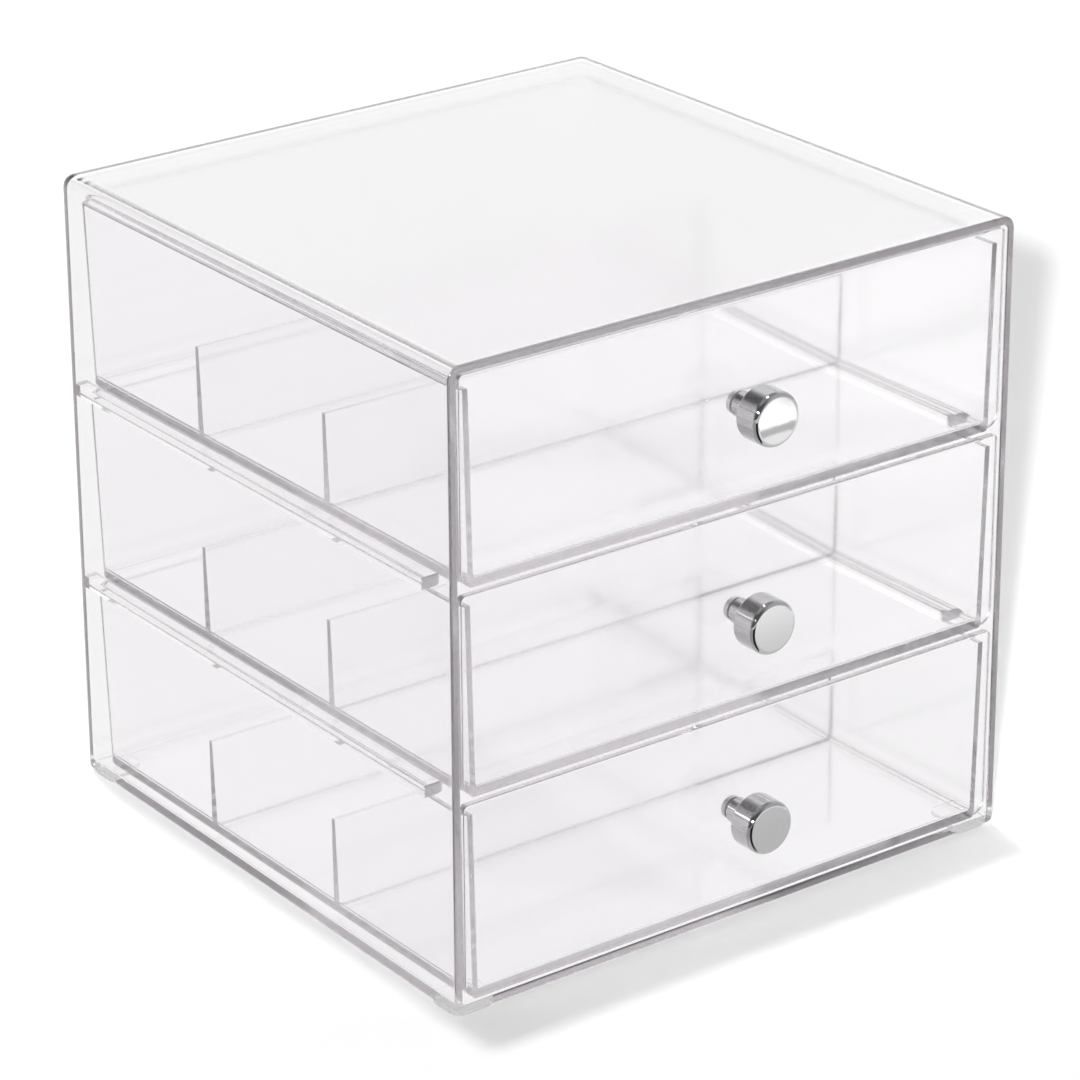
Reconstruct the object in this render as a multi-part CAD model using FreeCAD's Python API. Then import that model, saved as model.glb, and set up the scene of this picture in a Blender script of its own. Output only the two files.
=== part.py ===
import FreeCAD, Part
import math
import os

from FreeCAD import Vector

# A clear stackable cabinet with three pull-out drawers for glasses. Lengths are in millimetres.
# X runs across the cabinet, Y from its front to its back and Z up. The origin is on the surface
# that the cabinet stands on, in the middle of the whole object's outline, knobs included.

# Cabinet shell: one moulding, open at the front
shell_width = 178.0          # outside, at the front
shell_depth = 177.0
shell_height = 173.0         # from under the feet to the roof
shell_wall = 2.3
shell_lean = 2.5             # how far each side wall stands further in at the back than at the front
shell_edge_radius = 3.5      # outer edges of the roof, the sides and the back
shell_base_radius = 1.5      # outer edges of the underside
shell_rim_radius = 0.6       # the edges of the open front
foot_height = 1.0
foot_length = 12.0
foot_inset = 1.0             # from the shell's outer faces
foot_corner_radius = 3.0

# Rails: ledges moulded on the side walls, which carry the upper drawers
rail_thickness = 3.3
rail_bearing = 1.7           # how far a rail reaches in under the narrow end of a tub
rail_setback = 13.5          # from the shell's front face to the rail's front end
rail_nose_radius = 2.5
rail_edge_radius = 0.5

# Drawer fronts: flush with the shell's front
drawer_names = ("bottom", "middle", "top")
front_thickness = 2.2
front_side_gap = 0.8         # to the shell's side walls
front_end_gap = 1.3          # above the top bay, and below each front to what its tub rides on
front_spacing = 2.2          # between one front and the next
top_front_extra = 1.0        # by which the top front is taller than the others, up to the roof
front_low_radius = 4.0       # its lower corners
front_top_radius = 1.5       # its upper corners
front_edge_radius = 0.5

# Drawer tubs: the rest of each drawer, moulded in one with its front
slide_gap = 0.3              # under the tub
tub_wall = 1.6
tub_floor = 2.0
tub_flange = 1.8             # how far the front stands out beyond the tub's side, at the rim
tub_side_gap = 1.4           # to the shell's side wall, at the rim's back end
tub_back_gap = 3.0           # to the shell's back wall, at the rim
tub_rim_gap = 0.8            # below the rails above
tub_draft = 1.2              # degrees by which the walls open upwards
tub_corner_radius = 3.6      # outside, upright back corners
tub_bottom_radius = 1.2      # outside, along the floor
tub_floor_fillet = 1.6       # inside, along the floor
tub_rim_radius = 0.4

# Dividers: ribs across the tub, moulded in one with it
divider_count = 2
compartment_length = 57.5    # from the front to the first divider, and on to the next
divider_height = 25.0        # above the tub's floor
divider_top = 1.3            # thickness
divider_base = 2.5
divider_edge_radius = 0.4

# Knobs: a turned head with a slightly domed face, on a smooth stem
knob_head_diameter = 14.5
knob_head_length = 7.8
knob_crown = 0.25            # by which the middle of the face stands out beyond its rim
knob_face_radius = 1.4       # the rim of the face
knob_back_radius = 0.6       # the head's other rim
knob_stem_diameter = 7.0
knob_stem_length = 6.2
knob_bore_relief = 1.0       # bore beyond the screw's end

# Knob screws: pan heads inside the drawer, shanks through the front into the knob
screw_diameter = 3.0
screw_reach = 8.5            # into the knob
screw_head_diameter = 6.2
screw_head_height = 1.8
screw_head_radius = 0.7
screw_hole_gap = 0.2         # around the shank, through the front
screw_thread_gap = 0.05      # around the shank, in the knob
recess_length = 3.2          # the cross recess in the head
recess_width = 0.8
recess_depth = 0.9

# Places that follow from those sizes
knob_reach = knob_stem_length + knob_head_length
front_y = knob_reach - (shell_depth + knob_reach) / 2
back_y = front_y + shell_depth
panel_back_y = front_y + front_thickness
tub_back_y = back_y - shell_wall - tub_back_gap
floor_z = foot_height + shell_wall
ceiling_z = shell_height - shell_wall
bay_count = len(drawer_names)
fronts_height = ceiling_z - floor_z - 2 * front_end_gap - (bay_count - 1) * front_spacing
front_height = fronts_height / bay_count
bay_pitch = front_height + front_spacing
front_half_width = shell_width / 2 - shell_wall - front_side_gap
tub_rim_drop = rail_thickness + front_end_gap - front_spacing + tub_rim_gap
draft_rate = math.tan(math.radians(tub_draft))

# Solids that cut or are buried run this far past a face, and no inner radius is smaller
margin = 1.0
least_radius = 0.3


def ride_z(bay):
    """Height of what a bay's tub rides on: the shell's floor or a pair of rails."""
    return floor_z + bay * bay_pitch


def front_bottom_z(bay):
    return ride_z(bay) + front_end_gap


def rim_z(bay):
    return front_bottom_z(bay) + front_height - tub_rim_drop


def tub_bottom_z(bay):
    return ride_z(bay) + slide_gap


def shell_half_width(y):
    return shell_width / 2 - shell_lean * (y - front_y) / shell_depth


def tub_half_width(y, z, bay):
    """Outer half width of a tub: narrower towards the back and towards its floor."""
    at_front = front_half_width - tub_flange
    at_back = shell_half_width(tub_back_y) - shell_wall - tub_side_gap
    share = (y - panel_back_y) / (tub_back_y - panel_back_y)
    return at_front + share * (at_back - at_front) - draft_rate * (rim_z(bay) - z)


def tub_end_y(z, bay):
    return tub_back_y - draft_rate * (rim_z(bay) - z)


rail_half_width = tub_half_width(tub_back_y, tub_bottom_z(0), 0) - rail_bearing


def leaning_box(half_width, front, back, bottom, top):
    """Box of six flat faces about the plane x = 0. half_width takes y and z, front and back take z."""
    corners = []
    for z in (bottom, top):
        for side, end in ((-1, front), (1, front), (1, back), (-1, back)):
            y = end(z)
            corners.append(Vector(side * half_width(y, z), y, z))
    faces = []
    for ring in ((0, 3, 2, 1), (4, 5, 6, 7), (0, 1, 5, 4), (1, 2, 6, 5), (2, 3, 7, 6), (3, 0, 4, 7)):
        points = [corners[index] for index in ring]
        faces.append(Part.Face(Part.makePolygon(points + points[:1])))
    return Part.Solid(Part.Shell(faces))


def edges_where(shape, test):
    """Edges of a shape whose end points all pass a test."""
    return [edge for edge in shape.Edges if all(test(vertex.Point) for vertex in edge.Vertexes)]


def without(edges, left_out):
    return [edge for edge in edges if not any(edge.isSame(other) for other in left_out)]


def rising(edges):
    return [edge for edge in edges if edge.BoundBox.ZLength > margin]


def corner_edges(panel, z):
    """Edges through a panel's thickness at the height z."""
    across = [edge for edge in panel.Edges if near(edge.BoundBox.YLength, front_thickness)]
    return [edge for edge in across if all(near(vertex.Z, z) for vertex in edge.Vertexes)]


def near(value, target):
    return abs(value - target) < 1e-4


def bar(diameter, start_y, end_y, z):
    """Round bar along Y at x = 0."""
    return Part.makeCylinder(diameter / 2, end_y - start_y, Vector(0, start_y, z), Vector(0, 1, 0))


def shell_walls():
    """The outer box with its edges rounded, less the cavity."""
    outer = leaning_box(
        lambda y, z: shell_half_width(y),
        lambda z: front_y,
        lambda z: back_y,
        foot_height,
        shell_height,
    )
    front_loop = edges_where(outer, lambda p: near(p.y, front_y))
    base_loop = edges_where(outer, lambda p: near(p.z, foot_height))
    outer = outer.makeFillet(shell_edge_radius, without(outer.Edges, front_loop + base_loop))
    base_loop = edges_where(outer, lambda p: near(p.z, foot_height))
    front_loop = edges_where(outer, lambda p: near(p.y, front_y))
    outer = outer.makeFillet(shell_base_radius, without(base_loop, front_loop))

    cavity = leaning_box(
        lambda y, z: shell_half_width(y) - shell_wall,
        lambda z: front_y - margin,
        lambda z: back_y - shell_wall,
        floor_z,
        ceiling_z,
    )
    front_loop = edges_where(cavity, lambda p: near(p.y, front_y - margin))
    inner_radius = max(shell_edge_radius - shell_wall, least_radius)
    cavity = cavity.makeFillet(inner_radius, without(cavity.Edges, front_loop))

    walls = outer.cut(cavity)
    return walls.makeFillet(shell_rim_radius, edges_where(walls, lambda p: near(p.y, front_y)))


def rail(side, bay):
    """Ledge under one side of a tub, its outer edge buried in the side wall."""
    start_y = front_y + rail_setback
    end_y = back_y - shell_wall / 2
    low_z = ride_z(bay) - rail_thickness
    outline = []
    for y in (start_y, end_y):
        buried = shell_half_width(y) - shell_wall / 2
        outline.append([Vector(side * x, y, low_z) for x in (rail_half_width, buried)])
    points = outline[0] + outline[1][::-1] + outline[0][:1]
    ledge = Part.Face(Part.makePolygon(points)).extrude(Vector(0, 0, rail_thickness))
    nose = edges_where(ledge, lambda p: near(abs(p.x), rail_half_width) and near(p.y, start_y))
    ledge = ledge.makeFillet(rail_nose_radius, nose)
    level = without(ledge.Edges, rising(ledge.Edges))
    hidden = edges_where(ledge, lambda p: abs(p.x) > shell_half_width(p.y) - shell_wall)
    hidden += edges_where(ledge, lambda p: near(p.y, end_y))
    return ledge.makeFillet(rail_edge_radius, without(level, hidden))


def foot(side, at_back):
    """Low pad under one corner of the shell."""
    outer_x = shell_half_width(back_y if at_back else front_y) - foot_inset
    low_x = min(side * outer_x, side * (outer_x - foot_length))
    low_y = back_y - foot_inset - foot_length if at_back else front_y + foot_inset
    pad = Part.makeBox(foot_length, foot_length, foot_height + shell_wall / 2, Vector(low_x, low_y, 0))
    return pad.makeFillet(foot_corner_radius, rising(pad.Edges))


def cabinet_shell():
    pieces = [foot(side, at_back) for side in (-1, 1) for at_back in (False, True)]
    pieces += [rail(side, bay) for side in (-1, 1) for bay in range(1, bay_count)]
    return shell_walls().fuse(pieces)


def drawer_front(bay):
    """Flat panel with rounded corners, square to the slide."""
    bottom_z = front_bottom_z(bay)
    height = front_height + (top_front_extra if bay == bay_count - 1 else 0)
    corner = Vector(-front_half_width, front_y, bottom_z)
    panel = Part.makeBox(2 * front_half_width, front_thickness, height, corner)
    panel = panel.makeFillet(front_low_radius, corner_edges(panel, bottom_z))
    panel = panel.makeFillet(front_top_radius, corner_edges(panel, bottom_z + height))
    loops = edges_where(panel, lambda p: near(p.y, front_y))
    loops += edges_where(panel, lambda p: near(p.y, panel_back_y))
    return panel.makeFillet(front_edge_radius, loops)


def tub_block(bay):
    """The tub's outer shape, its front end buried in the panel."""
    block = leaning_box(
        lambda y, z: tub_half_width(y, z, bay),
        lambda z: front_y + front_thickness / 2,
        lambda z: tub_end_y(z, bay),
        tub_bottom_z(bay),
        rim_z(bay),
    )
    at_back = edges_where(block, lambda p: p.y > panel_back_y)
    block = block.makeFillet(tub_corner_radius, rising(at_back))
    low = edges_where(block, lambda p: near(p.z, tub_bottom_z(bay)))
    buried = edges_where(block, lambda p: p.y < panel_back_y)
    return block.makeFillet(tub_bottom_radius, without(low, buried))


def tub_cavity(bay):
    """The space that the tub holds, up past its rim."""
    inner_floor_z = tub_bottom_z(bay) + tub_floor
    cavity = leaning_box(
        lambda y, z: tub_half_width(y, z, bay) - tub_wall,
        lambda z: panel_back_y,
        lambda z: tub_end_y(z, bay) - tub_wall,
        inner_floor_z,
        rim_z(bay) + margin,
    )
    at_back = edges_where(cavity, lambda p: p.y > panel_back_y + margin)
    inner_radius = max(tub_corner_radius - tub_wall, tub_floor_fillet + least_radius)
    cavity = cavity.makeFillet(inner_radius, rising(at_back))
    return cavity.makeFillet(tub_floor_fillet, edges_where(cavity, lambda p: near(p.z, inner_floor_z)))


def divider(bay, number):
    """Rib across the tub, thinner towards its top, its ends and foot buried in the tub."""
    middle_y = panel_back_y + number * compartment_length
    inner_floor_z = tub_bottom_z(bay) + tub_floor
    top_z = inner_floor_z + divider_height
    slope = (divider_base - divider_top) / 2 / divider_height

    def half_thickness(z):
        return divider_top / 2 + slope * (top_z - z)

    rib = leaning_box(
        lambda y, z: tub_half_width(y, z, bay) - tub_wall / 2,
        lambda z: middle_y - half_thickness(z),
        lambda z: middle_y + half_thickness(z),
        inner_floor_z - tub_floor / 2,
        top_z,
    )
    crest = [edge for edge in edges_where(rib, lambda p: near(p.z, top_z)) if edge.Length > divider_top * 2]
    return rib.makeFillet(divider_edge_radius, crest)


def knob_z(bay):
    return front_bottom_z(bay) + front_height / 2


def drawer(bay):
    body = drawer_front(bay).fuse(tub_block(bay)).cut(tub_cavity(bay)).removeSplitter()
    rim = edges_where(body, lambda p: near(p.z, rim_z(bay)))
    on_panel = edges_where(body, lambda p: near(p.y, panel_back_y))
    body = body.makeFillet(tub_rim_radius, without(rim, on_panel))
    body = body.fuse([divider(bay, number + 1) for number in range(divider_count)])
    hole_diameter = screw_diameter + 2 * screw_hole_gap
    return body.cut(bar(hole_diameter, front_y - margin, panel_back_y + margin, knob_z(bay)))


def knob(bay):
    """Stem and head turned in one, with a blind threaded bore for the screw."""
    head_y = front_y - knob_reach
    head_back_y = front_y - knob_stem_length
    head = bar(knob_head_diameter, head_y, head_back_y, knob_z(bay))
    dome_radius = ((knob_head_diameter / 2) ** 2 + knob_crown ** 2) / (2 * knob_crown)
    head = head.common(Part.makeSphere(dome_radius, Vector(0, head_y + dome_radius, knob_z(bay))))
    back_rim = edges_where(head, lambda p: near(p.y, head_back_y))
    head = head.makeFillet(knob_back_radius, back_rim)
    face_rim = edges_where(head, lambda p: near(p.y, head_y + knob_crown))
    head = head.makeFillet(knob_face_radius, face_rim)
    stem = bar(knob_stem_diameter, head_back_y - margin, front_y, knob_z(bay))
    bore_diameter = screw_diameter + 2 * screw_thread_gap
    bore_start = front_y - screw_reach - knob_bore_relief
    return head.fuse(stem).cut(bar(bore_diameter, bore_start, front_y + margin, knob_z(bay)))


def knob_screw(bay):
    """Pan head with a cross recess, and a plain shank of the thread's outer diameter."""
    z = knob_z(bay)
    head_end_y = panel_back_y + screw_head_height
    head = bar(screw_head_diameter, panel_back_y, head_end_y, z)
    crown = [edge for edge in head.Edges if near(edge.BoundBox.YMin, head_end_y)]
    head = head.makeFillet(screw_head_radius, crown)
    shank = bar(screw_diameter, front_y - screw_reach, panel_back_y + screw_head_height / 2, z)
    screw = head.fuse(shank)
    for across, up in ((recess_length, recess_width), (recess_width, recess_length)):
        corner = Vector(-across / 2, head_end_y - recess_depth, z - up / 2)
        screw = screw.cut(Part.makeBox(across, recess_depth + margin, up, corner))
    return screw


def part_nodes():
    nodes = {"cabinet_shell": cabinet_shell()}
    for bay, name in enumerate(drawer_names):
        nodes["drawer_" + name] = drawer(bay)
        nodes["knob_" + name] = knob(bay)
        nodes["knob_screw_" + name] = knob_screw(bay)
    return nodes


os.makedirs("parts", exist_ok=True)
for name, shape in part_nodes().items():
    shape = shape.removeSplitter()
    shape.exportStep("parts/" + name + ".step")
    print(name, "solids", len(shape.Solids), "valid", shape.isValid(), "volume", round(shape.Volume, 1))
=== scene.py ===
import math

import bpy
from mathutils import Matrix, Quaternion, Vector

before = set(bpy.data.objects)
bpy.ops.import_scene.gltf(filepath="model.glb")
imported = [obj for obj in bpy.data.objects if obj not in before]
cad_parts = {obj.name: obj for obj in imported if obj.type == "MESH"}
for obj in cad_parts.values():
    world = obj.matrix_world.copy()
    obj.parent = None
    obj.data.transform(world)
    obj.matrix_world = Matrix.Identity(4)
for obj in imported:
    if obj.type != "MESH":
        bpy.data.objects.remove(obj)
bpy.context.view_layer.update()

# Cabinet shell: one injection moulding in clear plastic, open at the front, with four low feet and
# two pairs of ledges for the upper drawers. The mould polishes its walls; the roof, on which another
# cabinet can stand, has a fine haze, and so has the edge around the open front, where the plastic ends.


class Socket:
    """An output of a shader node that takes part in Python sums."""

    def __init__(self, tree, output):
        self.tree = tree
        self.output = output

    def maths(self, operation, *others):
        node = self.tree.nodes.new("ShaderNodeMath")
        node.operation = operation
        for port, value in zip(node.inputs, (self, *others)):
            if isinstance(value, Socket):
                self.tree.links.new(value.output, port)
            else:
                port.default_value = value
        return Socket(self.tree, node.outputs[0])

    def __add__(self, other):
        return self.maths("ADD", other)

    def __sub__(self, other):
        return self.maths("SUBTRACT", other)

    def __mul__(self, other):
        return self.maths("MULTIPLY", other)

    def __rsub__(self, other):
        return self * -1.0 + other

    __radd__ = __add__
    __rmul__ = __mul__

    def absolute(self):
        return self.maths("ABSOLUTE")

    def at_most_one(self):
        return self.maths("MINIMUM", 1.0)


class Shader:
    """The node tree of one material or of the world."""

    def __init__(self, owner):
        owner.use_nodes = True
        self.tree = owner.node_tree
        self.tree.nodes.clear()

    def node(self, kind, settings=None, output=0, **sockets):
        """Adds a node, its settings first and then its sockets, by name or by number as in _0."""
        node = self.tree.nodes.new("ShaderNode" + kind)
        for name, value in (settings or {}).items():
            setattr(node, name, value)
        for name, value in sockets.items():
            number = name[1:]
            port = node.inputs[int(number) if number.isdigit() else name.replace("_", " ")]
            if isinstance(value, Socket):
                self.tree.links.new(value.output, port)
            else:
                port.default_value = value
        return Socket(self.tree, node.outputs[output]) if node.outputs else None

    def place(self):
        """The x, y and z of a surface point in its own piece, in metres."""
        point = self.node("TexCoord", output="Object")
        return [self.node("SeparateXYZ", output=axis, Vector=point) for axis in "XYZ"]

    def smooth(self, value, start, end, low=0.0, high=1.0):
        """Goes from low to high as the value goes from start to end."""
        return self.node("MapRange", {"interpolation_type": "SMOOTHSTEP"}, Value=value,
                         From_Min=start, From_Max=end, To_Min=low, To_Max=high)

    def grain(self, scale, detail):
        """Uneven marks from 0 to 1, scale of them to a metre."""
        point = self.node("TexCoord", output="Object")
        return self.node("TexNoise", output="Fac", Vector=point, Scale=scale, Detail=detail)

    def colour(self, red, green, blue):
        return self.node("CombineColor", _0=red, _1=green, _2=blue)

    def grey(self, level):
        return self.colour(level, level, level)

    def tint(self, marks, spread, red, green, blue):
        """A colour that the marks lighten by at most the spread."""
        lighter = marks * spread
        return self.colour(lighter + red, lighter + green, lighter + blue)

    def clear_plastic(self, tint, haze):
        """Clear plastic that throws a pale shadow and turns greyer the further light goes in it."""
        body = self.node("BsdfPrincipled", Base_Color=tint, Roughness=haze, IOR=1.50,
                         Transmission_Weight=1.0)
        passing = self.node("BsdfTransparent", Color=(0.45, 0.45, 0.45, 1))
        in_shadow = self.node("LightPath", output="Is Shadow Ray")
        surface = self.node("MixShader", _0=in_shadow, _1=body, _2=passing)
        inside = self.node("VolumeAbsorption", Color=(0.1, 0.0, 0.1, 1), Density=2.6)
        self.node("OutputMaterial", Surface=surface, Volume=inside)


def dress(piece, material):
    """Puts the material on every slot of a piece."""
    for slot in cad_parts[piece].material_slots:
        slot.material = material


shell_plastic = bpy.data.materials.new("shell_plastic")
shader = Shader(shell_plastic)
x, y, z = shader.place()
roof = (
    shader.smooth(z, start=0.1680, end=0.1695)
    * shader.smooth(x.absolute(), start=0.0855, end=0.0830)
    * shader.smooth(y, start=-0.0795, end=-0.0770)
    * shader.smooth(y, start=0.0925, end=0.0900)
)
rim = shader.smooth(y, start=-0.0785, end=-0.0800)
scuffs = shader.grain(260.0, detail=6.0)
flow = shader.grain(9.0, detail=1.0)
shader.clear_plastic(
    tint=shader.tint(flow, 0.004, 0.995, 0.990, 0.995),
    haze=0.035 + roof * 0.095 + rim * 0.085 + scuffs * 0.02,
)
dress("cabinet_shell", shell_plastic)

# Drawers: each is one moulding in the same clear plastic, its flat front, tub and two thin dividers
# all in one. The faces are polished in the mould, and its gates and ejectors leave faint marks.
drawer_plastic = bpy.data.materials.new("drawer_plastic")
shader = Shader(drawer_plastic)
x, y, z = shader.place()
front_edge = (
    shader.smooth(y, start=-0.0785, end=-0.0800)
    * shader.smooth(x.absolute(), start=0.0838, end=0.0848)
)
scuffs = shader.grain(300.0, detail=6.0)
flow = shader.grain(11.0, detail=1.0)
shader.clear_plastic(
    tint=shader.tint(flow, 0.003, 0.997, 0.993, 0.997),
    haze=0.05 + front_edge * 0.07 + scuffs * 0.02,
)
for name in ("drawer_bottom", "drawer_middle", "drawer_top"):
    dress(name, drawer_plastic)

# Knobs: turned in one piece with their stems, a slightly domed head on each, polished and chromium
# plated, so that they mirror the studio. Polishing and handling leave fine marks.
chrome = bpy.data.materials.new("knob_chrome")
shader = Shader(chrome)
scuffs = shader.grain(900.0, detail=5.0)
tint = shader.tint(scuffs, 0.03, 0.540, 0.535, 0.545)
pits = shader.node("Bump", output="Normal", Strength=0.02, Distance=0.0002, Height=scuffs)
polish = scuffs * 0.02 + 0.025
body = shader.node("BsdfPrincipled", Base_Color=tint, Roughness=polish, Metallic=1.0, Normal=pits)
shader.node("OutputMaterial", Surface=body)
for name in ("knob_bottom", "knob_middle", "knob_top"):
    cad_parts[name].visible_shadow = False
    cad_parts[name].visible_glossy = False
    dress(name, chrome)

# Knob screws: cold-headed steel, zinc plated, a pan head with a cross recess inside each drawer.
# Tumbling in the plating barrel leaves the plating slightly dull and uneven.
steel = bpy.data.materials.new("screw_steel")
shader = Shader(steel)
wear = shader.grain(1400.0, detail=4.0)
tint = shader.tint(wear, 0.10, 0.57, 0.57, 0.585)
dents = shader.node("Bump", output="Normal", Strength=0.15, Distance=0.0002, Height=wear)
dullness = wear * 0.15 + 0.22
body = shader.node("BsdfPrincipled", Base_Color=tint, Roughness=dullness, Metallic=1.0, Normal=dents)
shader.node("OutputMaterial", Surface=body)
for name in ("knob_screw_bottom", "knob_screw_middle", "knob_screw_top"):
    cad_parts[name].visible_shadow = False
    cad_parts[name].visible_glossy = False
    dress(name, steel)

# Floor: a plain white sheet that takes the shadows. Through the plastic it looks as bright as the
# backdrop. In reflections alone it shows a painted reflection: a glow laid out by position as a dim
# studio floor, brighter far ahead, with one dark line and a dark patch.
bpy.ops.object.select_all(action="DESELECT")
bpy.ops.mesh.primitive_plane_add(size=12.0, location=(0, 0, 0))
floor = bpy.context.object
floor.name = "studio_floor"
paper = bpy.data.materials.new("studio_floor")
shader = Shader(paper)
through = shader.node("LightPath", output="Is Transmission Ray")
matt = shader.node("BsdfDiffuse", Color=(0.80, 0.80, 0.80, 1))
glow = shader.node("Emission", Color=(1, 1, 1, 1), Strength=0.95)
sheet = shader.node("MixShader", _0=through * 0.98, _1=matt, _2=glow)

# Painted reflection: the glow's level is painted by floor position, with bright and dark zones, a dark
# line and a dark patch.
x, y, z = shader.place()
knob_faces = -0.0955
ahead = knob_faces - y
away = ahead + x * 0.55
near = shader.smooth(away, start=0.05, end=0.33, low=0.84, high=1.42)
far = shader.smooth(x, start=0.27, end=0.35, low=1.85, high=0.9)
beyond = shader.smooth(away, start=0.360, end=0.384)
line = shader.smooth(away, start=0.336, end=0.346) * shader.smooth(away, start=0.384, end=0.370)
left = shader.smooth(x, start=0.0, end=-0.06)
patch = (
    shader.smooth(x - ahead * 0.1, start=0.004, end=-0.006)
    * shader.smooth(x + ahead * 0.87, start=-0.012, end=0.008)
)
in_front = near * (1.0 - beyond) + beyond * far
in_front = in_front * (1.0 - line * 0.42) * (1.0 - left * 0.45) * (1.0 - patch * 0.97)
in_reach = shader.smooth(ahead, start=-0.08, end=-0.07) * shader.smooth(ahead, start=0.58, end=0.42)
studio = in_front * in_reach + (1.0 - in_reach) * 0.85
# The painted reflection glows at this painted level and is seen only in reflections that never passed
# through the plastic.
painted_reflection_glow = shader.node("Emission", Color=shader.grey(studio), Strength=1.0)

deep = shader.node("LightPath", output="Transmission Depth").at_most_one()
mirrored = shader.node("LightPath", output="Glossy Depth").at_most_one() * (1.0 - deep)
shader.node("OutputMaterial", Surface=shader.node("MixShader", _0=mirrored, _1=sheet, _2=painted_reflection_glow))
floor.data.materials.append(paper)

# Lights: one soft lamp overhead and a little behind throws the shadow before the cabinet, and one
# low at the camera's left throws the shadow on the right. The sky fills in, and is white when seen.


def towards(azimuth, elevation):
    """The direction from the cabinet at so many degrees from its front, seen from above, and up."""
    around, up = math.radians(azimuth), math.radians(elevation)
    return Vector((math.sin(around) * math.cos(up), -math.cos(around) * math.cos(up), math.sin(up)))


lamp_distance = 3.0
for name, azimuth, elevation, width, strength in (
    ("top_lamp", 172.0, 84.0, 2.5, 1.30),
    ("front_lamp", -45.0, 20.5, 1.6, 4.45),
):
    data = bpy.data.lights.new(name, "SUN")
    data.angle = math.radians(width)
    data.energy = strength
    lamp = bpy.data.objects.new(name, data)
    lamp.location = towards(azimuth, elevation) * lamp_distance
    lamp.rotation_mode = "QUATERNION"
    lamp.rotation_quaternion = towards(azimuth, elevation).to_track_quat("Z", "Y")
    bpy.context.scene.collection.objects.link(lamp)

world = bpy.data.worlds.new("studio")
bpy.context.scene.world = world
shader = Shader(world)
direction = shader.node("TexCoord", output="Generated")
x, y, z = (shader.node("SeparateXYZ", output=axis, Vector=direction) for axis in "XYZ")
dark_strip = shader.smooth(z, start=0.48, end=0.58) * shader.smooth(x, start=0.3, end=-0.1)
back_sky = shader.smooth(x, start=-0.3, end=0.3, low=0.60, high=1.15) * (1.0 - dark_strip * 0.85)
front_sky = shader.smooth(x, start=-0.1, end=0.4, low=0.12, high=0.60)
behind = shader.smooth(y, start=-0.1, end=0.25)
overhead = shader.smooth(z, start=0.66, end=0.88)
level = back_sky * behind + front_sky * (1.0 - behind)
level = level * (1.0 - overhead) + overhead * 0.38
through = shader.node("LightPath", output="Is Transmission Ray") * shader.smooth(z, start=0.30, end=0.15)
backdrop = (shader.node("LightPath", output="Is Camera Ray") + through).at_most_one()
level = level + backdrop * (1.0 - level)
sky = shader.node("Background", Color=shader.grey(level), Strength=1.0)
shader.node("OutputWorld", Surface=sky)

# Camera: a long lens in front of the left front corner, looking down, from a fit of the cabinet's
# edges to the photograph's. The light paths are long enough for the thick edges of the plastic.
camera_data = bpy.data.cameras.new("camera")
camera_data.lens = 155.3
camera_data.sensor_width = 36.0
camera_data.clip_start = 0.05
camera_data.clip_end = 50.0
camera = bpy.data.objects.new("camera", camera_data)
camera.location = (-0.6792, -0.9048, 0.5643)
camera_tilt = Quaternion((0, 0, 1), math.radians(-0.275))
camera.rotation_mode = "QUATERNION"
camera.rotation_quaternion = towards(-36.842, 23.236).to_track_quat("Z", "Y") @ camera_tilt
bpy.context.scene.collection.objects.link(camera)
bpy.context.scene.camera = camera
bpy.context.scene.view_settings.view_transform = "Standard"
longest_path = 64
bpy.context.scene.cycles.max_bounces = longest_path
bpy.context.scene.cycles.transmission_bounces = longest_path
bpy.context.scene.cycles.glossy_bounces = longest_path
bpy.context.scene.cycles.transparent_max_bounces = longest_path
